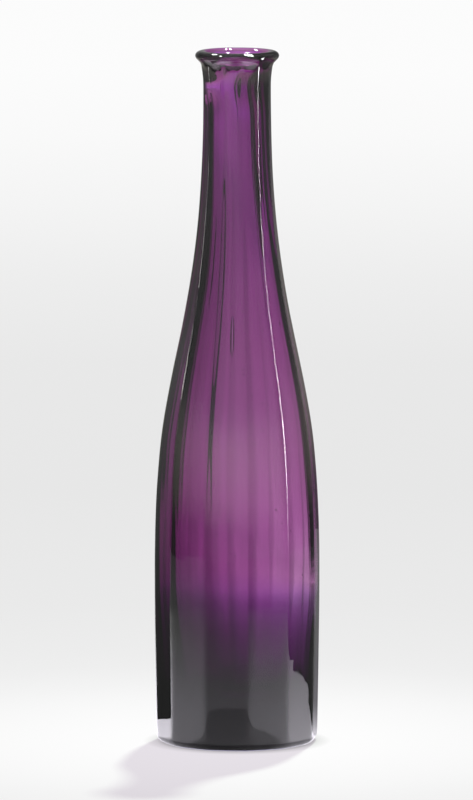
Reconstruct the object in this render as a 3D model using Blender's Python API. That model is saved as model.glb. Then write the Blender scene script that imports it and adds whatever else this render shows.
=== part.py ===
"""Antique amethyst glass bottle: a mould-blown, twelve-panelled vessel with a rolled lip.

Metres, +Z up. The origin is the centre of the circle that the bottle stands on, and the bottle's
axis is +Z. The panels face +X, +Y, -X, -Y and the eight directions between them.
"""

import math

import bmesh
import bpy

# Driving dimensions
HEIGHT = 0.280                 # foot to the top of the lip
PANELS = 12
SEAM_HEIGHT = 0.2736           # where the neck ends and the rolled lip begins
SEAM_GAP = 0.0003

# The outer corner line of the panels: height, radius and slope at each turn of the outline.
# The radius is that of the sharp twelve-sided section, before its corners are softened.
OUTLINE = (
    (0.0030, 0.0329, 0.017),           # top of the heel's rounding
    (0.0690, 0.03375, 0.0),            # widest
    (0.1180, 0.0317, -0.092),          # shoulder begins
    (0.1650, 0.02335, -0.211),         # steepest part of the shoulder
    (0.2150, 0.0157, -0.087),          # foot of the neck
    (0.2660, 0.0138, 0.0),             # waist of the neck
    (SEAM_HEIGHT, 0.0145, 0.17),       # cove under the lip
)
BODY_LEVELS = 24               # rings of the outer wall above the heel

# Glass thickness
BODY_WALL = 0.0030
NECK_WALL = 0.0040
FOOT_WALL = 0.0090             # the glass has settled towards the foot
FOOT_WALL_SPAN = (0.072, 0.020)        # heights where the foot's thickening starts and is full
NECK_WALL_SPAN = (0.110, 0.230)
FLOOR_HEIGHT = 0.011           # lowest point of the hollow
BOWL_HEIGHT = 0.034            # where the hollow's rounded bottom meets its wall
BOWL_LEVELS = 5
HOLLOW_LEVELS = 17

# Heel and the shallow kick under the foot
HEEL_HEIGHT = OUTLINE[0][0]
HEEL_INSET = 0.0032            # from the outline in to the ring that the bottle stands on
HEEL_STEPS = 4
REST_WIDTH = 0.0025            # width of the flat ring that the bottle stands on
KICK_HEIGHT = 0.003
KICK_STEPS = 3

# Softened panel corners: each is a point pulled in from the sharp corner, between two flat ends
FLAT_END_BODY = math.radians(12.0)     # half the angle that a panel's flat covers, on the body
FLAT_END_NECK = math.radians(9.0)
CORNER_BODY = 0.992            # softened corner's radius, over the sharp corner's
CORNER_NECK = 0.985
SOFTENING_SPAN = (0.150, 0.250)

# Rolled lip, a turned section: places are (radius, height)
LIP_SEGMENTS = 48
LIP_FOOT_RADIUS = 0.01435      # outer edge at the seam
LIP_NECK_TOP = (0.0147, 0.2751)        # where the neck turns out into the bead
BEAD_CENTRE = (0.0151, 0.27805)
BEAD_ROUNDING = 0.00175        # the bead's rounding below its widest circle
CREST_RADIUS = 0.0142          # the circle of the lip's highest points
BEAD_STEPS = 3
CREST_STEPS = 4
MOUTH_STEPS = 6


def hermite(knots, height):
    """Radius at a height, on the smooth curve through knots of (height, radius, slope)."""
    for (z0, r0, m0), (z1, r1, m1) in zip(knots, knots[1:]):
        if height <= z1:
            break
    span = z1 - z0
    t = (height - z0) / span
    return ((2 * t**3 - 3 * t**2 + 1) * r0 + (t**3 - 2 * t**2 + t) * span * m0
            + (3 * t**2 - 2 * t**3) * r1 + (t**3 - t**2) * span * m1)


def smooth_step(value, start, end):
    """0 at start, 1 at end, with no kink at either."""
    t = min(max((value - start) / (end - start), 0.0), 1.0)
    return t * t * (3 - 2 * t)


def blend(low, high, share):
    return low + (high - low) * share


def flat_radius(height):
    """Distance from the axis to the middle of a panel."""
    return hermite(OUTLINE, height) * math.cos(math.pi / PANELS)


def wall_thickness(height):
    neck = (NECK_WALL - BODY_WALL) * smooth_step(height, *NECK_WALL_SPAN)
    foot = (FOOT_WALL - BODY_WALL) * smooth_step(height, *FOOT_WALL_SPAN)
    return BODY_WALL + neck + foot


def hollow_radius(height):
    """Radius of the round hollow inside the bottle, closed by a bowl at the bottom."""
    radius = flat_radius(height) - wall_thickness(height)
    if height < BOWL_HEIGHT:
        depth = (BOWL_HEIGHT - height) / (BOWL_HEIGHT - FLOOR_HEIGHT)
        radius *= math.sqrt(1 - depth * depth)
    return radius


def panel_ring(sharp_radius, height):
    """One level of the outer wall: three points a panel, its two flat ends and a soft corner."""
    share = smooth_step(height, *SOFTENING_SPAN)
    flat_end = blend(FLAT_END_BODY, FLAT_END_NECK, share)
    corner_radius = sharp_radius * blend(CORNER_BODY, CORNER_NECK, share)
    flat_end_radius = sharp_radius * math.cos(math.pi / PANELS) / math.cos(flat_end)
    ring = []
    for panel in range(PANELS):
        middle = 2 * math.pi * panel / PANELS
        for turn, radius in ((-flat_end, flat_end_radius), (flat_end, flat_end_radius),
                             (math.pi / PANELS, corner_radius)):
            angle = middle + turn
            ring.append((radius * math.cos(angle), radius * math.sin(angle), height))
    return ring


def round_ring(radius, height, like):
    """A circle at a height whose points lie at the angles of another ring's points."""
    angles = [math.atan2(y, x) for x, y, _ in like]
    return [(radius * math.cos(a), radius * math.sin(a), height) for a in angles]


def skin(rings, closed=False):
    """A mesh of quads between neighbouring rings; a single-point ring is the tip of a fan."""
    mesh = bmesh.new()
    loops = [[mesh.verts.new(point) for point in ring] for ring in rings]
    pairs = list(zip(loops, loops[1:]))
    if closed:
        pairs.append((loops[-1], loops[0]))
    for low, high in pairs:
        count = max(len(low), len(high))
        for i in range(count):
            j = (i + 1) % count
            if len(low) == 1:
                mesh.faces.new((low[0], high[j], high[i]))
            elif len(high) == 1:
                mesh.faces.new((low[i], low[j], high[0]))
            else:
                mesh.faces.new((low[i], low[j], high[j], high[i]))
    bmesh.ops.recalc_face_normals(mesh, faces=mesh.faces[:])
    return mesh


def heel_rings():
    """The kick under the foot, the flat ring that the bottle stands on, and the rounded heel."""
    outline_radius = OUTLINE[0][1]
    rest_outer = outline_radius - HEEL_INSET
    rest_inner = rest_outer - REST_WIDTH
    rings = [[(0.0, 0.0, KICK_HEIGHT)]]
    for step in range(1, KICK_STEPS + 1):
        share = step / KICK_STEPS
        rings.append(panel_ring(rest_inner * share, KICK_HEIGHT * (1 - share * share)))
    for step in range(HEEL_STEPS):
        turn = math.radians(90) * step / HEEL_STEPS
        rings.append(panel_ring(rest_outer + HEEL_INSET * math.sin(turn),
                                HEEL_HEIGHT * (1 - math.cos(turn))))
    return rings


def outer_wall_rings():
    heights = [blend(HEEL_HEIGHT, SEAM_HEIGHT, i / BODY_LEVELS) for i in range(BODY_LEVELS + 1)]
    return [panel_ring(hermite(OUTLINE, z), z) for z in heights]


def hollow_rings(like):
    """The inside of the bottle, from the neck's end down to the bottom of the bowl."""
    walls = [blend(SEAM_HEIGHT, BOWL_HEIGHT, i / HOLLOW_LEVELS) for i in range(HOLLOW_LEVELS)]
    bowl_turns = [math.radians(90) * i / BOWL_LEVELS for i in range(BOWL_LEVELS)]
    bowl = [blend(BOWL_HEIGHT, FLOOR_HEIGHT, math.sin(turn)) for turn in bowl_turns]
    rings = [round_ring(hollow_radius(z), z, like) for z in walls + bowl]
    return rings + [[(0.0, 0.0, FLOOR_HEIGHT)]]


def bottle_body_mesh():
    outside = heel_rings() + outer_wall_rings()
    return skin(outside + hollow_rings(like=outside[-1]))


def arc(centre, radii, start, end, steps):
    """Points of an elliptical arc in (radius, height), from one angle in degrees to another."""
    turns = [math.radians(blend(start, end, i / steps)) for i in range(steps + 1)]
    return [(centre[0] + radii[0] * math.cos(a), centre[1] + radii[1] * math.sin(a)) for a in turns]


def lip_section():
    """The lip's closed section, from its foot up round the bead, over the crest, into the mouth."""
    foot_height = SEAM_HEIGHT + SEAM_GAP
    bead_radius = BEAD_CENTRE[0] + BEAD_ROUNDING
    bead_height = BEAD_CENTRE[1]
    section = [(LIP_FOOT_RADIUS, foot_height), LIP_NECK_TOP]
    section += arc(BEAD_CENTRE, (BEAD_ROUNDING, BEAD_ROUNDING), -45, 0, BEAD_STEPS)
    crest_radii = (bead_radius - CREST_RADIUS, HEIGHT - bead_height)
    section += arc((CREST_RADIUS, bead_height), crest_radii, 0, 90, CREST_STEPS)[1:]
    mouth_radii = (CREST_RADIUS - hollow_radius(SEAM_HEIGHT), HEIGHT - foot_height)
    section += arc((CREST_RADIUS, foot_height), mouth_radii, 90, 180, MOUTH_STEPS)[1:]
    return section


def rolled_lip_mesh():
    angles = [2 * math.pi * i / LIP_SEGMENTS for i in range(LIP_SEGMENTS)]
    rings = [[(r * math.cos(a), r * math.sin(a), z) for a in angles] for r, z in lip_section()]
    return skin(rings, closed=True)


def amethyst_glass():
    material = bpy.data.materials.new("amethyst_glass")
    material.use_nodes = True
    shader = material.node_tree.nodes["Principled BSDF"]
    shader.inputs["Base Color"].default_value = (0.30, 0.10, 0.33, 1.0)
    shader.inputs["Roughness"].default_value = 0.05
    shader.inputs["Metallic"].default_value = 0.0
    shader.inputs["IOR"].default_value = 1.52
    shader.inputs["Transmission Weight"].default_value = 1.0
    return material


def add_object(name, mesh, material):
    data = bpy.data.meshes.new(name)
    mesh.to_mesh(data)
    mesh.free()
    data.shade_smooth()
    data.materials.append(material)
    part = bpy.data.objects.new(name, data)
    bpy.context.scene.collection.objects.link(part)


def main():
    for old in list(bpy.data.objects):
        bpy.data.objects.remove(old, do_unlink=True)
    add_object("bottle_body", bottle_body_mesh(), amethyst_glass())
    add_object("rolled_lip", rolled_lip_mesh(), amethyst_glass())


main()
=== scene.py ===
"""Looks of the antique amethyst glass bottle: one continuous glass, its stage, lights and camera.

Metres, +Z up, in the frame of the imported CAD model, which this script loads and builds around.
"""

import math
import random

import bpy
import numpy as np
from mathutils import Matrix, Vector, noise


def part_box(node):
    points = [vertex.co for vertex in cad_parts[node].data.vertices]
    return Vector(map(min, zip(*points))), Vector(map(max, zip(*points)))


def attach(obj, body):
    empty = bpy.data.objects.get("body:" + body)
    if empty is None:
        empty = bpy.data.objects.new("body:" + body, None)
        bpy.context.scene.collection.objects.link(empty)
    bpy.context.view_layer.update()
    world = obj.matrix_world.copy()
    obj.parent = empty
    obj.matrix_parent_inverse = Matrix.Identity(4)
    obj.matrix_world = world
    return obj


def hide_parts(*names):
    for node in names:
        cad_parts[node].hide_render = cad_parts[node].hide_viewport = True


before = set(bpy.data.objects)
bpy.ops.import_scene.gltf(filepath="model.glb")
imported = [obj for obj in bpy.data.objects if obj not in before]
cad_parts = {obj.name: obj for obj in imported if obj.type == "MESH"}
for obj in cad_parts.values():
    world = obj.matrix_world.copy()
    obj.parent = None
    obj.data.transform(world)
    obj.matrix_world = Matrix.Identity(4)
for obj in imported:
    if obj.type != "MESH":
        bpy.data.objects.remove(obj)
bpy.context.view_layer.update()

# ---------------------------------------------------------------- driving dimensions of the glass
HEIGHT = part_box("rolled_lip")[1].z
SEAM_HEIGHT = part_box("bottle_body")[1].z       # where the neck ends and the rolled lip begins
PANELS = 12
PANEL_ANGLE = 2 * math.pi / PANELS
POINTS_PER_PANEL = 16

# Outer corner line of the panels, before softening: (height, radius, slope) at each turn
OUTLINE = (
    (0.0030, 0.0329, 0.017),
    (0.0690, 0.03375, 0.0),
    (0.1180, 0.0317, -0.092),
    (0.1650, 0.02335, -0.211),
    (0.2150, 0.0157, -0.087),
    (0.2660, 0.0138, 0.0),
    (SEAM_HEIGHT, 0.0145, 0.17),
)
OUTER_LEVELS = 170

# Crispness of the panels' corners: the exponent of the p-norm that rounds the twelve-sided section
CRISP_BODY = 100.0
CRISP_NECK = 72.0
CRISP_HEEL = 30.0
CRISP_HOLLOW = 34.0
NECK_CRISP_SPAN = (0.150, 0.250)
HEEL_CRISP_SPAN = (0.006, 0.0)

# Glass thickness
BODY_WALL = 0.0030
NECK_WALL = 0.0040
FOOT_WALL = 0.0072
FOOT_WALL_SPAN = (0.066, 0.018)
NECK_WALL_SPAN = (0.110, 0.230)
FLOOR_HEIGHT = 0.011
BOWL_HEIGHT = 0.029
BOWL_LEVELS = 24
HOLLOW_LEVELS = 150

# Heel and kick
HEEL_HEIGHT = OUTLINE[0][0]
HEEL_INSET = 0.0032
HEEL_STEPS = 12
REST_WIDTH = 0.0025
KICK_HEIGHT = 0.003
KICK_STEPS = 8

# Rolled lip, in (radius, height)
LIP_FOOT_RADIUS = 0.01435
LIP_FOOT_RISE = 0.0004         # from the seam up to the lip's foot
LIP_NECK_TOP = (0.0147, 0.2751)
BEAD_CENTRE = (0.0151, 0.27805)
BEAD_ROUNDING = 0.00175
CREST_RADIUS = 0.0142
BEAD_STEPS = 8
CREST_STEPS = 14
MOUTH_STEPS = 24

# Hand-made unevenness: ripples in the surfaces, and a hollow that is off centre in the body
OUTER_WAVE = 0.00006
OUTER_WAVE_SCALE = 3.0
HOLLOW_WAVE = 0.00012
HOLLOW_WAVE_SCALE = 1.7
HOLLOW_WAVE_FADE = 0.010               # the ripples and the lean die out this far below the mouth
HOLLOW_SHIFT_FADE = 0.006
WAVES_ROUND = 50.0                     # ripples a metre, before the scale: around, and in height
WAVES_UP = 18.0
HOLLOW_SHIFT = (0.0007, -0.0010)       # to the right in the body, to the left in the neck
HOLLOW_SHIFT_SPAN = (0.185, 0.250)
FOOT_SHIFT = 0.0014                    # more of the same lean towards the foot
FOOT_SHIFT_SPAN = (0.128, 0.045)
LIP_SHIFT = -0.0014                    # a tooled kink to the left, just under the lip
LIP_SHIFT_PLACE = (0.2655, 0.0065)

# Bubbles in the glass, with half sizes across, along and through the wall
LONG_BUBBLE_AZIMUTH = -5.3
LONG_BUBBLE_HEIGHT = 0.1665
LONG_BUBBLE_SIZE = (0.0008, 0.0085, 0.0004)
SEED_COUNT = 90
SEED_DRAW = 11
SEED_WIDTH = (0.00015, 0.00034)
SEED_LENGTH = (1.0, 1.6)       # over its width
SEED_DEPTH = 0.8
SEED_HEIGHTS = (0.02, 0.265)
BUBBLE_ROWS = 10
BUBBLE_TURNS = 10

# ---------------------------------------------------------------- the glass's material
GLASS_IOR = 1.5
ABSORPTION_COLOUR = (0.60, 0.083, 0.555, 1.0)
ABSORPTION_DENSITY = 480.0
# Each noise: stretch along the axes, scale and detail
WEAR_NOISE = ((1.0, 1.0, 0.8), 95.0, 6.0)
WEAR_NOISE_RANGE = (0.56, 0.74)
WEAR_ROUGHNESS = (0.0, 0.07)
RING_NOISE = ((0.25, 0.25, 1.0), 420.0, 3.0)
PEEL_NOISE = ((1.0, 1.0, 0.6), 130.0, 2.0)
MARK_STRENGTH = 0.10
MARK_DEPTH = 0.0001

# ---------------------------------------------------------------- studio
# The picture shows only the paper and the key light's shadow. All the rest of the set is hidden
# from the camera, and the glass mirrors it or shows it through: painted reflections, painted highlights
# and painted shade. It is tuned for the camera below: from high above, the mirrored table makes
# the shoulder look like metal.
WORLD_COLOUR = (0.97, 0.97, 0.97, 1.0)
PAPER_RADIUS = 6.0
PAPER_SIDES = 128
# Brightness of the lit paper by distance from the bottle, as a share of 4 m: painted light, a pool and
# falloff in the paper's own glow
PAPER_REACH = 4.0
PAINTED_PAPER_LIGHT = ((0.0, 0.985), (0.012, 0.985), (0.025, 0.955), (0.033, 0.93), (0.039, 0.905),
              (0.053, 0.86), (0.065, 0.845), (0.10, 0.82), (0.20, 0.80), (0.33, 0.81), (0.43, 0.85),
              (0.53, 0.905), (0.64, 0.95), (0.75, 0.97), (1.0, 0.97))
# The key light's share of that brightness, in a pool round the bottle: the rest is the paper's glow, which
# is painted light
KEY_SHARE = ((0.0, (0.20, 0.24, 0.19)), (0.5, (0.20, 0.24, 0.19)), (1.0, 0.0))
KEY_POOL_REACH = (0.36, 0.36)
# Painted contact shadow: the paper's glow dims where the bottle stands
CONTACT_REACH = (0.05, 0.05)
CONTACT_SHADE = ((0.56, 0.35), (0.655, 0.80), (0.76, 1.0))
KEY_AZIMUTH = 165.0
KEY_ELEVATION = 63.0
KEY_SPREAD = 3.0

# What the glass mirrors, painted reflections: walls by azimuth and by share of their height, and the paper
# near it
SCREEN_STEP = 6                # degrees a face on each curved screen
SCREEN_FEWEST_STEPS = 8
WALL_RADIUS = 0.42
WALL_TOP = 1.0
WALL_BY_AZIMUTH = ((-180, 0.5), (-160, 0.45), (-134, 0.3), (-100, 0.6), (-74, 0.90), (-45, 1.2),
                   (-15, 1.45), (15, 1.35), (45, 1.15), (60, 0.7), (90, 0.5), (105, 0.6), (135, 0.5),
                   (155, 0.2), (170, 0.2), (180, 0.5))
WALL_BY_HEIGHT = ((0.035, 0.30), (0.06, 0.34), (0.09, (0.92, 0.90, 0.80)), (0.12, (1.25, 1.22, 1.1)),
                  (0.155, (1.3, 1.27, 1.15)), (0.185, (1.15, 1.12, 1.08)), (0.212, 0.80), (0.24, 0.66),
                  (0.28, 0.65), (0.335, 0.75), (0.45, 0.6), (0.55, 1.0), (1.0, 1.4))
# The lowest strip of the walls, also a painted reflection, is paler on the left
SKIRTING_BOTTOM = -0.01
SKIRTING_TOP = 0.035
SKIRTING_BY_AZIMUTH = ((-180, 0.3), (-134, 0.3), (-100, 0.6), (-74, 0.75), (-45, 0.6), (-15, 0.48),
                       (45, 0.27), (105, 0.40), (150, 0.2), (180, 0.3))
SKIRTING_BY_HEIGHT = ((0.0, 1.0), (0.01, 1.0), (0.035, 0.75))
DISC_STEPS = 64
# The mirrored table is a painted reflection of the lit paper: brighter to the sides, with a painted
# contact shadow close round the foot
TABLE_HEIGHT = 0.0004
TABLE_RADIUS = 0.42
TABLE_BY_AZIMUTH = ((-180, 1.0), (-115, 4.6), (-90, 4.6), (-72, 3.1), (-40, 2.2), (-22, 1.6), (-8, 1.6),
                    (20, 2.2), (40, 3.1), (65, 4.2), (99, 4.2), (110, 1.4), (134, 0.8), (150, 0.35),
                    (180, 0.7))
TABLE_BY_DISTANCE = ((0.0, (0.40, 0.385, 0.425)), (0.082, (0.40, 0.385, 0.425)),
                     (0.098, (0.95, 0.915, 1.0)), (0.30, (0.74, 0.71, 0.78)), (0.53, (0.50, 0.49, 0.52)),
                     (0.75, 0.30), (0.88, 0.17), (1.0, 0.0))
SKIRTING_BY_DISTANCE = ((0.0, 0.0), (0.5, 0.02), (0.8, 0.40), (1.0, 1.0))
# Painted shadow of the bottle in the mirrored table, in front of it: its centre and reach
TABLE_SHADE_CENTRE = (-0.006, -0.075, 0.0)
TABLE_SHADE_REACH = (0.058, 0.060)
# The paper's ragged edge on the right, where the painted reflection of the lit paper ends: places to the
# right and back
TABLE_EDGE = ((0.060, 0.010), (0.122, 0.0125), (0.150, 0.021), (0.192, 0.029), (0.200, 0.024),
              (0.229, 0.032), (0.238, 0.0), (0.262, -0.05), (0.330, -0.12), (0.40, -0.30))
TABLE_EDGE_OUTER = 1.2
TABLE_EDGE_SPAN = (165, 40)
TABLE_EDGE_HEIGHT = 0.0008
TABLE_EDGE_GLOW = 0.3
# How dark the painted shadow is, by share of its reach
TABLE_SHADE = ((0.0, 0.60), (0.84, 0.62), (0.90, 1.0))

# What is seen through the glass, painted light and shade: the paper near it, darker close to the bottle,
# and dark flags further off
THROUGH_HEIGHT = 0.0005
THROUGH_RADIUS = 0.64
THROUGH_BY_DISTANCE = ((0.0, (0.23, 0.22, 0.40)), (0.18, (0.36, 0.34, 0.54)), (0.31, (0.49, 0.47, 0.67)),
                       (0.36, (0.54, 0.52, 0.72)), (0.41, (0.61, 0.58, 0.79)), (0.455, (0.69, 0.66, 0.87)),
                       (0.50, (0.77, 0.74, 0.94)), (0.55, (0.83, 0.80, 0.98)), (0.60, (0.87, 0.84, 0.98)),
                       (0.70, (0.90, 0.88, 0.94)), (0.80, 0.94), (1.0, 0.86))
THROUGH_BY_AZIMUTH = ((-180, 1.0), (-177.4, 1.0), (-176.6, 0.82), (-173, 0.72), (-150, 0.8), (-100, 0.8),
                      (-90, 1.0), (90, 1.0), (100, 0.3), (150, 0.3), (161, 0.85), (180, 1.0))
# A cloth stands straight behind the bottle, and is seen only through it: pale in the middle, with painted
# light in tinted bands by height
BACKCLOTH_SPAN = (158, 197)
BACKCLOTH_BY_AZIMUTH = ((-180, 1.0), (-178.9, 1.0), (-178.2, 0.82), (-160, 0.82), (150, 1.0), (180, 1.0))
BACKCLOTH_DISTANCE = 0.63
BACKCLOTH_TOP = 0.36
SCREEN_BOTTOM = 0.001          # of the backcloth and the flags
BACKCLOTH_BY_HEIGHT = ((0.0, 0.86), (0.015, 0.96), (0.033, 0.90), (0.061, 0.79), (0.098, 0.78),
                       (0.130, (0.76, 0.75, 0.82)), (0.163, (0.64, 0.59, 0.76)),
                       (0.186, (0.86, 0.80, 1.02)), (0.205, (1.02, 0.88, 1.40)), (0.36, 1.0))
# Painted shade: dark flags and a dark canopy that only the glass shows through
FLAG_SPANS = ((-165.5, -112), (-85, -50), (-10, 25), (50, 85), (112, 161))
FLAG_DISTANCE = 0.6
FLAG_TOP = 0.9
FLAG_BY_HEIGHT = ((0.0, 0.8), (0.006, 0.7), (0.03, 0.02), (1.0, 0.02))
CANOPY_HEIGHT = 0.50
CANOPY_REACH = 0.90
CANOPY_GLOW = 0.02

# Painted highlights, and one painted dark reflection: cards that only the glass mirrors and that light
# nothing
# Cards that the glass mirrors. Upright: azimuth, distance, width, shift to the side, and brightness
# by height from the bottom to the top of the card
UPRIGHT_CARDS = {
    "flag_back_left": (-134.6, 0.075, 0.028, 0.030,
                       ((0.0, 0.1), (0.05, 0.12), (0.10, 0.25), (0.16, 0.40), (0.19, 0.30))),
    "strip_right": (76.0, 0.40, 0.06, 0.0,
                    ((0.035, 0.5), (0.06, 3.0), (0.09, 12.0), (0.12, 36.0), (0.17, 44.0),
                     (0.21, 26.0), (0.28, 22.0), (0.36, 12.0))),
    "strip_left": (-115.0, 0.40, 0.03, 0.0,
                   ((0.165, 2.0), (0.18, 14.0), (0.20, 14.0), (0.215, 2.0))),
}
# The overhead cards paint the highlights on the lip
# Overhead: azimuth, elevation, distance from the lip, length and depth, brightness
OVERHEAD_CARDS = {
    "soft_left": (-65.0, 56.0, 0.70, (0.12, 0.16), 40.0),
    "soft_right": (60.0, 56.0, 0.70, (0.14, 0.16), 40.0),
    "window": (157.0, 63.0, 1.0, (0.16, 0.14), 160.0),
    "second_window": (-150.0, 50.0, 0.62, (0.075, 0.062), 120.0),
    "bar_behind": (180.0, 55.0, 0.70, (0.60, 0.03), 3.0),
    "bar_front": (-10.0, 62.0, 0.8, (0.50, 0.05), 1.5),
}

# ---------------------------------------------------------------- camera
CAMERA_TURN = math.radians(7.3)        # the front panel faces a little left of the camera
CAMERA_DISTANCE = 4.4
CAMERA_HEIGHT = 0.67
AIM_HEIGHT = 0.1387
AIM_RIGHT = -0.00025
LENS = 494.9
SENSOR = 36.0
CLIP_END = 60.0

LIGHT_BOUNCES = 32
GLOSSY_BOUNCES = 16


def smooth_step(value, start, end):
    """0 at start, 1 at end, with no kink at either."""
    t = min(max((value - start) / (end - start), 0.0), 1.0)
    return t * t * (3 - 2 * t)


def blend(low, high, share):
    return low + (high - low) * share


def hermite(knots, height):
    """Radius at a height, on the smooth curve through knots of (height, radius, slope)."""
    for (z0, r0, m0), (z1, r1, m1) in zip(knots, knots[1:]):
        if height <= z1:
            break
    span = z1 - z0
    t = (height - z0) / span
    return ((2 * t**3 - 3 * t**2 + 1) * r0 + (t**3 - 2 * t**2 + t) * span * m0
            + (3 * t**2 - 2 * t**3) * r1 + (t**3 - t**2) * span * m1)


# ---------------------------------------------------------------- the glass
def ring_angles():
    """Angles round the bottle, closer together at the panels' corners, where the surface turns."""
    angles = []
    for panel in range(PANELS):
        for i in range(POINTS_PER_PANEL):
            across = -1 + 2 * i / POINTS_PER_PANEL
            angles.append(PANEL_ANGLE * (panel + math.sin(across * math.pi / 2) / 2))
    return np.array(angles)


ANGLES = ring_angles()
OFF_PANEL = (ANGLES + PANEL_ANGLE / 2) % PANEL_ANGLE - PANEL_ANGLE / 2


def panelled(flat_radius, height, crispness):
    """A ring of twelve flats at that distance from the axis, with corners rounded by a p-norm."""
    total = sum(np.cos(OFF_PANEL - turn * PANEL_ANGLE) ** crispness for turn in (-1, 0, 1))
    radius = flat_radius * total ** (-1 / crispness)
    return np.stack([radius * np.cos(ANGLES), radius * np.sin(ANGLES),
                     np.full_like(ANGLES, height)], axis=1)


def circle(radius, height):
    return np.stack([radius * np.cos(ANGLES), radius * np.sin(ANGLES),
                     np.full_like(ANGLES, height)], axis=1)


def arc(centre, radii, start, end, steps):
    """Points of an elliptical arc in (radius, height), from one angle in degrees to another."""
    turns = [math.radians(blend(start, end, i / steps)) for i in range(steps + 1)]
    return [(centre[0] + radii[0] * math.cos(a), centre[1] + radii[1] * math.sin(a)) for a in turns]


def flat_radius(height):
    return hermite(OUTLINE, height) * math.cos(PANEL_ANGLE / 2)


def crispness(height):
    body = blend(CRISP_BODY, CRISP_NECK, smooth_step(height, *NECK_CRISP_SPAN))
    return blend(body, CRISP_HEEL, smooth_step(height, *HEEL_CRISP_SPAN))


def wall_thickness(height):
    neck = (NECK_WALL - BODY_WALL) * smooth_step(height, *NECK_WALL_SPAN)
    foot = (FOOT_WALL - BODY_WALL) * smooth_step(height, *FOOT_WALL_SPAN)
    return BODY_WALL + neck + foot


def hollow_radius(height):
    radius = flat_radius(height) - wall_thickness(height)
    if height < BOWL_HEIGHT:
        depth = (BOWL_HEIGHT - height) / (BOWL_HEIGHT - FLOOR_HEIGHT)
        radius *= math.sqrt(max(1 - depth * depth, 0.0))
    return radius


def hollow_shift(height):
    """How far the hollow's middle lies to the right of the axis; none where it meets the mouth."""
    shift = blend(*HOLLOW_SHIFT, smooth_step(height, *HOLLOW_SHIFT_SPAN))
    shift += FOOT_SHIFT * smooth_step(height, *FOOT_SHIFT_SPAN)
    middle, reach = LIP_SHIFT_PLACE
    shift += LIP_SHIFT * math.exp(-((height - middle) / reach) ** 2)
    return shift * smooth_step(height, SEAM_HEIGHT, SEAM_HEIGHT - HOLLOW_SHIFT_FADE)


def foot_rings():
    """The shallow kick under the foot, the flat ring that it stands on, and the rounded heel."""
    side = math.cos(PANEL_ANGLE / 2)
    rest_outer = (OUTLINE[0][1] - HEEL_INSET) * side
    rest_inner = rest_outer - REST_WIDTH
    rings = []
    for step in range(1, KICK_STEPS + 1):
        share = step / KICK_STEPS
        rings.append(circle(rest_inner * share, KICK_HEIGHT * (1 - share * share)))
    for step in range(HEEL_STEPS):
        turn = math.radians(90) * step / HEEL_STEPS
        height = HEEL_HEIGHT * (1 - math.cos(turn))
        rings.append(panelled(rest_outer + HEEL_INSET * side * math.sin(turn), height, crispness(height)))
    return rings


def wall_rings():
    heights = [blend(HEEL_HEIGHT, SEAM_HEIGHT, i / OUTER_LEVELS) for i in range(OUTER_LEVELS + 1)]
    return [wavy(panelled(flat_radius(z), z, crispness(z)), OUTER_WAVE, OUTER_WAVE_SCALE) for z in heights]


def lip_rings():
    """The rolled lip, from its foot up round the bead, over the crest and down into the mouth."""
    bead_radius = BEAD_CENTRE[0] + BEAD_ROUNDING
    bead_height = BEAD_CENTRE[1]
    section = [(LIP_FOOT_RADIUS, SEAM_HEIGHT + LIP_FOOT_RISE), LIP_NECK_TOP]
    section += arc(BEAD_CENTRE, (BEAD_ROUNDING, BEAD_ROUNDING), -45, 0, BEAD_STEPS)
    crest_radii = (bead_radius - CREST_RADIUS, HEIGHT - bead_height)
    section += arc((CREST_RADIUS, bead_height), crest_radii, 0, 90, CREST_STEPS)[1:]
    mouth_radii = (CREST_RADIUS - hollow_radius(SEAM_HEIGHT), HEIGHT - SEAM_HEIGHT)
    section += arc((CREST_RADIUS, SEAM_HEIGHT), mouth_radii, 90, 180, MOUTH_STEPS)[1:-1]
    return [circle(r, z) for r, z in section]


def hollow_rings():
    """The inside of the bottle, from the neck's end down to just above the bottom of the bowl."""
    walls = [blend(SEAM_HEIGHT, BOWL_HEIGHT, i / HOLLOW_LEVELS) for i in range(HOLLOW_LEVELS)]
    turns = [math.radians(90) * i / BOWL_LEVELS for i in range(BOWL_LEVELS)]
    bowl = [blend(BOWL_HEIGHT, FLOOR_HEIGHT, math.sin(turn)) for turn in turns]
    rings = []
    for z in walls + bowl:
        amount = HOLLOW_WAVE * smooth_step(z, SEAM_HEIGHT, SEAM_HEIGHT - HOLLOW_WAVE_FADE)
        ring = wavy(panelled(hollow_radius(z), z, CRISP_HOLLOW), amount, HOLLOW_WAVE_SCALE)
        ring[:, 0] += hollow_shift(z)
        rings.append(ring)
    return rings


def wavy(ring, amount, scale):
    """Moves a ring's points in and out by a smooth noise, long in height and short around."""
    moved = ring.copy()
    for i, (x, y, z) in enumerate(ring):
        around, up = WAVES_ROUND * scale, WAVES_UP * scale
        push = noise.noise(Vector((x * around, y * around, z * up)))
        length = math.hypot(x, y)
        if length > 0.001:
            share = 1 + amount * push / length
            moved[i] = (x * share, y * share, z)
    return moved


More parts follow.
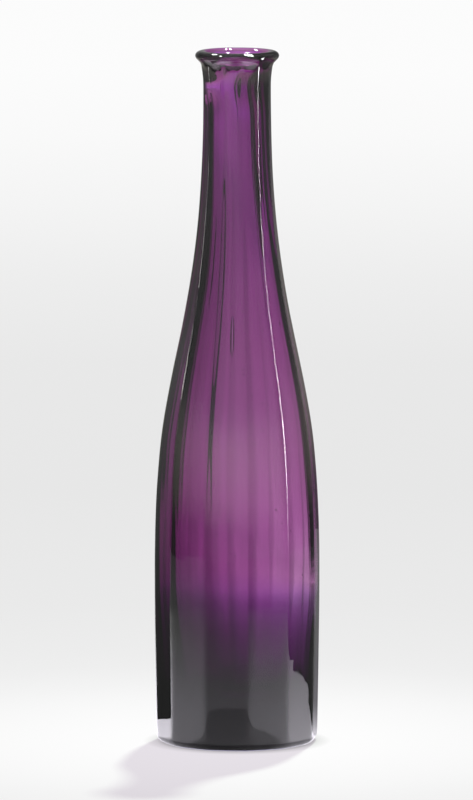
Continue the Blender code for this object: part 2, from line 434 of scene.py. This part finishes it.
def bubble(points, faces, centre, axes):
    """Adds a closed bubble with its faces pointing inwards: a hole inside the glass."""
    start = len(points)
    across, along, out = axes
    points.append(tuple(centre - along))
    for row in range(1, BUBBLE_ROWS):
        tilt = math.pi * row / BUBBLE_ROWS
        for turn in range(BUBBLE_TURNS):
            angle = 2 * math.pi * turn / BUBBLE_TURNS
            side = across * math.cos(angle) + out * math.sin(angle)
            points.append(tuple(centre - along * math.cos(tilt) + side * math.sin(tilt)))
    points.append(tuple(centre + along))
    last = len(points) - 1
    for turn in range(BUBBLE_TURNS):
        after = (turn + 1) % BUBBLE_TURNS
        faces.append((start, start + 1 + turn, start + 1 + after))
        for row in range(BUBBLE_ROWS - 2):
            low = start + 1 + row * BUBBLE_TURNS
            high = low + BUBBLE_TURNS
            faces.append((low + turn, high + turn, high + after, low + after))
        top = last - BUBBLE_TURNS
        faces.append((top + turn, last, top + after))


def add_bubbles(points, faces):
    """One long drawn-out bubble in the front wall and a scatter of tiny seeds."""
    wall_bubble(points, faces, LONG_BUBBLE_AZIMUTH, LONG_BUBBLE_HEIGHT, LONG_BUBBLE_SIZE)
    chance = random.Random(SEED_DRAW)
    for _ in range(SEED_COUNT):
        width = chance.uniform(*SEED_WIDTH)
        size = (width, width * chance.uniform(*SEED_LENGTH), width * SEED_DEPTH)
        wall_bubble(points, faces, chance.uniform(-180, 180), chance.uniform(*SEED_HEIGHTS), size)


def wall_bubble(points, faces, azimuth, height, size):
    """A bubble half way through the wall, lying along it; azimuth is degrees right of the camera."""
    turn = math.radians(azimuth) + CAMERA_TURN - math.pi / 2
    outward = Vector((math.cos(turn), math.sin(turn), 0.0))
    sideways = Vector((-math.sin(turn), math.cos(turn), 0.0))
    step = 0.002
    slope = (flat_radius(height + step) - flat_radius(height - step)) / (2 * step)
    upward = (outward * slope + Vector((0.0, 0.0, 1.0))).normalized()
    inner = hollow_radius(height) + hollow_shift(height) * math.cos(turn)
    middle = (flat_radius(height) + inner) / 2
    centre = outward * middle + Vector((0.0, 0.0, height))
    normal = upward.cross(sideways)
    across, along, thick = size
    bubble(points, faces, centre, (sideways * across, upward * along, normal * thick))


def build_glass():
    """One closed mesh: foot, panelled wall, rolled lip, mouth and hollow, ring after ring."""
    rings = foot_rings() + wall_rings() + lip_rings() + hollow_rings()
    count = len(ANGLES)
    points = [(0.0, 0.0, KICK_HEIGHT)] + [tuple(p) for ring in rings for p in ring]
    points.append((0.0, 0.0, FLOOR_HEIGHT))
    last = len(points) - 1
    faces = []
    for i in range(count):
        j = (i + 1) % count
        faces.append((0, 1 + j, 1 + i))
        for level in range(len(rings) - 1):
            low, high = 1 + level * count, 1 + (level + 1) * count
            faces.append((low + i, low + j, high + j, high + i))
        top = 1 + (len(rings) - 1) * count
        faces.append((top + i, top + j, last))
    add_bubbles(points, faces)
    mesh = bpy.data.meshes.new("amethyst_bottle")
    mesh.from_pydata(points, [], faces)
    mesh.validate()
    mesh.shade_smooth()
    glass = bpy.data.objects.new("amethyst_bottle", mesh)
    bpy.context.scene.collection.objects.link(glass)
    return glass


# ---------------------------------------------------------------- materials
def new_material(name):
    material = bpy.data.materials.new(name)
    material.use_nodes = True
    nodes = material.node_tree.nodes
    for node in list(nodes):
        nodes.remove(node)
    output = nodes.new("ShaderNodeOutputMaterial")
    return material, nodes, material.node_tree.links, output


def stretched_noise(nodes, links, place, stretch, scale, detail):
    """A noise whose grain is drawn out: a smaller stretch along an axis makes longer grain there."""
    mapping = nodes.new("ShaderNodeMapping")
    mapping.inputs["Scale"].default_value = stretch
    links.new(place, mapping.inputs["Vector"])
    texture = nodes.new("ShaderNodeTexNoise")
    texture.inputs["Scale"].default_value = scale
    texture.inputs["Detail"].default_value = detail
    links.new(mapping.outputs["Vector"], texture.inputs["Vector"])
    return texture.outputs["Fac"]


def handling_wear(nodes, links, place):
    """Roughness: a polished surface with a few dull, rubbed patches."""
    patches = nodes.new("ShaderNodeMapRange")
    patches.inputs["From Min"].default_value = WEAR_NOISE_RANGE[0]
    patches.inputs["From Max"].default_value = WEAR_NOISE_RANGE[1]
    patches.inputs["To Min"].default_value = WEAR_ROUGHNESS[0]
    patches.inputs["To Max"].default_value = WEAR_ROUGHNESS[1]
    links.new(stretched_noise(nodes, links, place, *WEAR_NOISE), patches.inputs["Value"])
    return patches.outputs["Result"]


def tool_marks(nodes, links, place):
    """Bump: faint rings from turning and blowing, over an all-over orange-peel ripple."""
    rings = stretched_noise(nodes, links, place, *RING_NOISE)
    peel = stretched_noise(nodes, links, place, *PEEL_NOISE)
    both = nodes.new("ShaderNodeMath")
    both.operation = "ADD"
    links.new(rings, both.inputs[0])
    links.new(peel, both.inputs[1])
    bump = nodes.new("ShaderNodeBump")
    bump.inputs["Strength"].default_value = MARK_STRENGTH
    bump.inputs["Distance"].default_value = MARK_DEPTH
    links.new(both.outputs[0], bump.inputs["Height"])
    return bump.outputs["Normal"]


def amethyst_glass():
    material, nodes, links, output = new_material("amethyst_glass")
    shader = nodes.new("ShaderNodeBsdfPrincipled")
    shader.inputs["Base Color"].default_value = (1.0, 1.0, 1.0, 1.0)
    shader.inputs["IOR"].default_value = GLASS_IOR
    shader.inputs["Transmission Weight"].default_value = 1.0
    where = nodes.new("ShaderNodeTexCoord").outputs["Object"]
    links.new(handling_wear(nodes, links, where), shader.inputs["Roughness"])
    links.new(tool_marks(nodes, links, where), shader.inputs["Normal"])
    links.new(shader.outputs[0], output.inputs["Surface"])
    volume = nodes.new("ShaderNodeVolumeAbsorption")
    volume.inputs["Color"].default_value = ABSORPTION_COLOUR
    volume.inputs["Density"].default_value = ABSORPTION_DENSITY
    links.new(volume.outputs[0], output.inputs["Volume"])
    return material


# ---------------------------------------------------------------- stage
def studio(right, back, up=0.0):
    """A place given from the camera's side: to its right, away from it, and up."""
    c, s = math.cos(CAMERA_TURN), math.sin(CAMERA_TURN)
    return Vector((right * c - back * s, right * s + back * c, up))


def build_floor():
    """Pale paper: mostly a glow of its own, with painted light and a painted contact shadow in it, and a
    pool round the bottle that the key light lights.
    """
    bpy.ops.mesh.primitive_circle_add(vertices=PAPER_SIDES, radius=PAPER_RADIUS, fill_type="NGON")
    floor = bpy.context.object
    floor.name = "floor"
    floor.rotation_euler.z = CAMERA_TURN
    material, nodes, links, output = new_material("floor_paper_painted_light")
    where = nodes.new("ShaderNodeTexCoord").outputs["Object"]
    # painted light: the paper's glow, and the matt colour made from it, are brightest round the bottle and
    # fall off outwards
    lit = ramp_by_distance(nodes, links, where, (0, 0, 0), (PAPER_REACH, PAPER_REACH), PAINTED_PAPER_LIGHT)
    share = ramp_by_distance(nodes, links, where, (0, 0, 0), KEY_POOL_REACH, KEY_SHARE)
    # painted contact shadow: the glow dims round the foot of the bottle
    contact = ramp_by_distance(nodes, links, where, (0, 0, 0), CONTACT_REACH, CONTACT_SHADE)
    rest = nodes.new("ShaderNodeVectorMath")
    rest.operation = "SUBTRACT"
    rest.inputs[0].default_value = (1.0, 1.0, 1.0)
    links.new(share, rest.inputs[1])
    glow = nodes.new("ShaderNodeEmission")
    links.new(product(nodes, links, lit, rest.outputs[0]), glow.inputs["Color"])
    links.new(contact, glow.inputs["Strength"])
    matt = nodes.new("ShaderNodeBsdfDiffuse")
    links.new(product(nodes, links, lit, share), matt.inputs["Color"])
    both = nodes.new("ShaderNodeAddShader")
    links.new(glow.outputs[0], both.inputs[0])
    links.new(matt.outputs[0], both.inputs[1])
    links.new(both.outputs[0], output.inputs["Surface"])
    material.cycles.emission_sampling = "NONE"
    floor.data.materials.append(material)
    floor.visible_glossy = False


def ramp_by_distance(nodes, links, place, centre, reach, stops):
    """A colour that changes with the distance from a centre, as a share of the reach each way."""
    offset = nodes.new("ShaderNodeVectorMath")
    offset.operation = "SUBTRACT"
    offset.inputs[1].default_value = centre
    links.new(place, offset.inputs[0])
    scaled = nodes.new("ShaderNodeVectorMath")
    scaled.operation = "DIVIDE"
    scaled.inputs[1].default_value = (*reach, 1.0)
    links.new(offset.outputs[0], scaled.inputs[0])
    length = nodes.new("ShaderNodeVectorMath")
    length.operation = "LENGTH"
    links.new(scaled.outputs[0], length.inputs[0])
    ramp = nodes.new("ShaderNodeValToRGB")
    set_stops(ramp, stops)
    links.new(length.outputs["Value"], ramp.inputs[0])
    return ramp.outputs[0]


def ramp_by_azimuth(nodes, links, place, stops):
    """A colour that changes with the azimuth, in degrees right of the camera."""
    split = nodes.new("ShaderNodeSeparateXYZ")
    links.new(place, split.inputs[0])
    toward = nodes.new("ShaderNodeMath")
    toward.operation = "MULTIPLY"
    toward.inputs[1].default_value = -1.0
    links.new(split.outputs["Y"], toward.inputs[0])
    angle = nodes.new("ShaderNodeMath")
    angle.operation = "ARCTAN2"
    links.new(split.outputs["X"], angle.inputs[0])
    links.new(toward.outputs[0], angle.inputs[1])
    turn = nodes.new("ShaderNodeMapRange")
    turn.inputs["From Min"].default_value = -math.pi
    turn.inputs["From Max"].default_value = math.pi
    links.new(angle.outputs[0], turn.inputs["Value"])
    ramp = nodes.new("ShaderNodeValToRGB")
    set_stops(ramp, [((degrees + 180) / 360, value) for degrees, value in stops])
    links.new(turn.outputs[0], ramp.inputs[0])
    return ramp.outputs[0]


def product(nodes, links, first, second):
    both = nodes.new("ShaderNodeVectorMath")
    both.operation = "MULTIPLY"
    links.new(first, both.inputs[0])
    links.new(second, both.inputs[1])
    return both.outputs[0]


def set_stops(ramp, stops):
    """Fills a colour ramp with grey (place, brightness) or (place, (r, g, b)) stops."""
    elements = ramp.color_ramp.elements
    while len(elements) > 1:
        elements.remove(elements[-1])
    for number, (place, value) in enumerate(stops):
        element = elements[0] if number == 0 else elements.new(place)
        element.position = place
        colour = (value, value, value) if isinstance(value, float) else value
        element.color = (*colour, 1.0)


def build_world():
    world = bpy.data.worlds.new("studio")
    world.use_nodes = True
    world.node_tree.nodes["Background"].inputs["Color"].default_value = WORLD_COLOUR
    world.cycles_visibility.diffuse = False
    bpy.context.scene.world = world


def only_in_glass(obj, glossy=False, transmission=False):
    """Keeps a studio card out of the picture: it is only mirrored in the glass or seen through it."""
    obj.visible_camera = False
    obj.visible_diffuse = False
    obj.visible_glossy = glossy
    obj.visible_transmission = transmission
    obj.visible_volume_scatter = False
    obj.visible_shadow = False


def stage_mesh(name, points, faces, material):
    mesh = bpy.data.meshes.new(name)
    mesh.from_pydata([tuple(p) for p in points], [], faces)
    mesh.materials.append(material)
    obj = bpy.data.objects.new(name, mesh)
    bpy.context.scene.collection.objects.link(obj)
    return obj


def plain_glow(name, brightness):
    material, nodes, links, output = new_material(name)
    glow = nodes.new("ShaderNodeEmission")
    glow.inputs["Color"].default_value = (1.0, 1.0, 1.0, 1.0)
    glow.inputs["Strength"].default_value = brightness
    links.new(glow.outputs[0], output.inputs["Surface"])
    material.cycles.emission_sampling = "NONE"
    return material


def round_the_set(azimuth, distance, height=0.0):
    """A place at an azimuth in degrees right of the camera and a distance from the axis."""
    turn = math.radians(azimuth)
    return studio(distance * math.sin(turn), -distance * math.cos(turn), height)


def glow_material(name, light):
    """A glowing material whose colour is what light(nodes, links, where) makes."""
    material, nodes, links, output = new_material(name)
    where = nodes.new("ShaderNodeTexCoord").outputs["Object"]
    glow = nodes.new("ShaderNodeEmission")
    links.new(light(nodes, links, where), glow.inputs["Color"])
    links.new(glow.outputs[0], output.inputs["Surface"])
    material.cycles.emission_sampling = "NONE"
    return material


def glow_by_height(name, by_height, by_azimuth=None):
    """A glowing material whose colour follows the height over the paper, in metres, and the azimuth."""
    def light(nodes, links, where):
        split = nodes.new("ShaderNodeSeparateXYZ")
        links.new(where, split.inputs[0])
        ramp = nodes.new("ShaderNodeValToRGB")
        set_stops(ramp, by_height)
        links.new(split.outputs["Z"], ramp.inputs[0])
        if not by_azimuth:
            return ramp.outputs[0]
        return product(nodes, links, ramp_by_azimuth(nodes, links, where, by_azimuth), ramp.outputs[0])

    return glow_material(name, light)


def curved_screen(name, span, distance, heights, material):
    """An upright screen that curves round the bottle, from one azimuth to another."""
    steps = max(SCREEN_FEWEST_STEPS, round((span[1] - span[0]) / SCREEN_STEP))
    points = []
    for i in range(steps + 1):
        turn = math.radians(blend(*span, i / steps))
        for z in heights:
            points.append((distance * math.sin(turn), -distance * math.cos(turn), z))
    faces = [(2 * i, 2 * i + 2, 2 * i + 3, 2 * i + 1) for i in range(steps)]
    screen = stage_mesh(name, points, faces, material)
    screen.rotation_euler.z = CAMERA_TURN
    return screen


def upright_card(name, azimuth, distance, width, aside, by_height):
    """An upright card facing the bottle; by_height has its bottom and top heights as end stops."""
    turn = math.radians(azimuth)
    along = studio(math.cos(turn), math.sin(turn))
    middle = round_the_set(azimuth, distance) + along * aside
    half = along * (width / 2)
    up = Vector((0.0, 0.0, 1.0))
    bottom, top = by_height[0][0], by_height[-1][0]
    points = [middle - half + up * bottom, middle + half + up * bottom,
              middle + half + up * top, middle - half + up * top]
    only_in_glass(stage_mesh(name, points, [(0, 1, 2, 3)], glow_by_height(name, by_height)), glossy=True)


def overhead_card(name, azimuth, elevation, distance, size, brightness):
    """A card up above, facing the lip, with its length from left to right."""
    reach = distance * math.cos(math.radians(elevation))
    middle = round_the_set(azimuth, reach, HEIGHT + distance * math.sin(math.radians(elevation)))
    to_lip = (Vector((0.0, 0.0, HEIGHT)) - middle).normalized()
    right = Vector((0.0, 0.0, 1.0)).cross(to_lip).normalized()
    deep = to_lip.cross(right)
    length, depth = size
    corners = ((-1, -1), (1, -1), (1, 1), (-1, 1))
    points = [middle + right * (i * length / 2) + deep * (j * depth / 2) for i, j in corners]
    only_in_glass(stage_mesh(name, points, [(0, 1, 2, 3)], plain_glow(name, brightness)), glossy=True)


def build_walls():
    """Painted reflections of the studio round the set as the glass mirrors it: dark low down, hazy above,
    brighter right.
    """
    # painted reflections: glowing screens that only the glass mirrors
    for name, bottom, top, by_height, by_azimuth in (
            ("skirting_painted_reflection", SKIRTING_BOTTOM, SKIRTING_TOP, SKIRTING_BY_HEIGHT, SKIRTING_BY_AZIMUTH),
            ("walls_painted_reflection", SKIRTING_TOP, WALL_TOP, WALL_BY_HEIGHT, WALL_BY_AZIMUTH)):
        walls = curved_screen(name, (-180, 180), WALL_RADIUS, (bottom, top),
                              glow_by_height(name, by_height, by_azimuth))
        only_in_glass(walls, glossy=True)


def disc_round_the_set(name, height, radius, material):
    points = [(0.0, 0.0, height)]
    for i in range(DISC_STEPS):
        turn = 2 * math.pi * i / DISC_STEPS
        points.append((radius * math.sin(turn), -radius * math.cos(turn), height))
    faces = [(0, 1 + i, 1 + (i + 1) % DISC_STEPS) for i in range(DISC_STEPS)]
    disc = stage_mesh(name, points, faces, material)
    disc.rotation_euler.z = CAMERA_TURN
    return disc


def disc_light(nodes, links, where, radius, by_azimuth, by_distance):
    """A brightness that is the product of one ramp round the bottle and one outwards from it."""
    around = ramp_by_azimuth(nodes, links, where, by_azimuth)
    outward = ramp_by_distance(nodes, links, where, (0, 0, 0), (radius, radius), by_distance)
    return product(nodes, links, around, outward)


def table_light(nodes, links, where):
    """The mirrored table's painted light: darker in front of the bottle with a painted shadow, and the
    walls' where they meet.
    """
    # painted reflection of the lit paper, dark close round the foot
    lit = disc_light(nodes, links, where, TABLE_RADIUS, TABLE_BY_AZIMUTH, TABLE_BY_DISTANCE)
    # painted shadow of the bottle in front of it
    shade = ramp_by_distance(nodes, links, where, TABLE_SHADE_CENTRE, TABLE_SHADE_REACH, TABLE_SHADE)
    walls = disc_light(nodes, links, where, TABLE_RADIUS, SKIRTING_BY_AZIMUTH, SKIRTING_BY_DISTANCE)
    total = nodes.new("ShaderNodeVectorMath")
    total.operation = "ADD"
    links.new(product(nodes, links, lit, shade), total.inputs[0])
    links.new(walls, total.inputs[1])
    return total.outputs[0]


def through_light(nodes, links, where):
    # painted light of the paper as the glass shows it through, darker close to the bottle
    return disc_light(nodes, links, where, THROUGH_RADIUS, THROUGH_BY_AZIMUTH, THROUGH_BY_DISTANCE)


def build_table_top():
    """Two discs and an edge that the glass sees in place of the paper, with its light and shade painted
    on: mirrored, and through it.
    """
    mirrored = disc_round_the_set("table_painted_reflection", TABLE_HEIGHT, TABLE_RADIUS,
                                  glow_material("table_painted_reflection", table_light))
    only_in_glass(mirrored, glossy=True)
    through = disc_round_the_set("table_through_painted_light", THROUGH_HEIGHT, THROUGH_RADIUS,
                                 glow_material("table_through_painted_light", through_light))
    only_in_glass(through, transmission=True)
    inside = [studio(right, back, TABLE_EDGE_HEIGHT) for right, back in TABLE_EDGE]
    count = len(inside)
    outside = [round_the_set(blend(*TABLE_EDGE_SPAN, i / (count - 1)), TABLE_EDGE_OUTER, TABLE_EDGE_HEIGHT)
               for i in range(count)]
    faces = [(i, i + 1, count + i + 1, count + i) for i in range(count - 1)]
    edge = stage_mesh("table_edge_painted_reflection", inside + outside, faces, plain_glow("table_edge_painted_reflection", TABLE_EDGE_GLOW))
    only_in_glass(edge, glossy=True)


def build_backcloth():
    """The pale cloth straight behind the bottle, as it shows through the glass, with painted light in
    tinted bands by height.
    """
    # painted light seen through the glass, in tinted bands by height
    material = glow_by_height("backcloth_painted_light", BACKCLOTH_BY_HEIGHT, BACKCLOTH_BY_AZIMUTH)
    cloth = curved_screen("backcloth_painted_light", BACKCLOTH_SPAN, BACKCLOTH_DISTANCE,
                          (SCREEN_BOTTOM, BACKCLOTH_TOP), material)
    only_in_glass(cloth, transmission=True)


def build_flags():
    """Dark upright flags, seen only through the glass, are painted shade: they draw its dark edges and
    corners.
    """
    material = glow_by_height("dark_flag_painted_shade", FLAG_BY_HEIGHT)
    for number, span in enumerate(FLAG_SPANS):
        flag = curved_screen(f"flag_{number}", span, FLAG_DISTANCE, (SCREEN_BOTTOM, FLAG_TOP), material)
        only_in_glass(flag, transmission=True)
    # a dark canopy overhead, painted shade seen only through the glass
    corners = [round_the_set(azimuth, CANOPY_REACH, CANOPY_HEIGHT) for azimuth in (0, 90, 180, 270)]
    canopy = stage_mesh("canopy", corners, [(0, 1, 2, 3)], plain_glow("canopy", CANOPY_GLOW))
    only_in_glass(canopy, transmission=True)


def build_cards():
    """Cards that the glass mirrors, painted reflections: a dark one behind it on the left, and thin strips
    and overheads that paint highlights.
    """
    for name, places in UPRIGHT_CARDS.items():
        upright_card(name, *places)
    for name, places in OVERHEAD_CARDS.items():
        overhead_card(name, *places)


def build_key_light():
    """A soft key light from behind, high up and a little right, which throws the bottle's shadow."""
    data = bpy.data.lights.new("key", "SUN")
    azimuth, height = math.radians(KEY_AZIMUTH), math.radians(KEY_ELEVATION)
    data.energy = math.pi / math.sin(height)
    data.angle = math.radians(KEY_SPREAD)
    light = bpy.data.objects.new("key", data)
    source = studio(math.sin(azimuth) * math.cos(height), -math.cos(azimuth) * math.cos(height),
                    math.sin(height))
    light.rotation_mode = "QUATERNION"
    light.rotation_quaternion = source.to_track_quat("Z", "Y")
    bpy.context.scene.collection.objects.link(light)


def build_camera():
    data = bpy.data.cameras.new("camera")
    data.lens = LENS
    data.sensor_width = SENSOR
    data.clip_end = CLIP_END
    camera = bpy.data.objects.new("camera", data)
    camera.location = studio(0.0, -CAMERA_DISTANCE, CAMERA_HEIGHT)
    look = studio(AIM_RIGHT, 0.0, AIM_HEIGHT) - camera.location
    camera.rotation_mode = "QUATERNION"
    camera.rotation_quaternion = look.to_track_quat("-Z", "Y")
    bpy.context.scene.collection.objects.link(camera)
    bpy.context.scene.camera = camera


def set_colour_and_light_paths():
    scene = bpy.context.scene
    scene.view_settings.view_transform = "Standard"
    scene.cycles.max_bounces = LIGHT_BOUNCES
    scene.cycles.transmission_bounces = LIGHT_BOUNCES
    scene.cycles.glossy_bounces = GLOSSY_BOUNCES
    scene.cycles.caustics_reflective = False
    scene.cycles.caustics_refractive = False


def main():
    glass = build_glass()
    glass.data.materials.append(amethyst_glass())
    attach(glass, "root")
    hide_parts("bottle_body", "rolled_lip")
    build_floor()
    build_world()
    build_walls()
    build_table_top()
    build_backcloth()
    build_flags()
    build_cards()
    build_key_light()
    build_camera()
    set_colour_and_light_paths()


main()
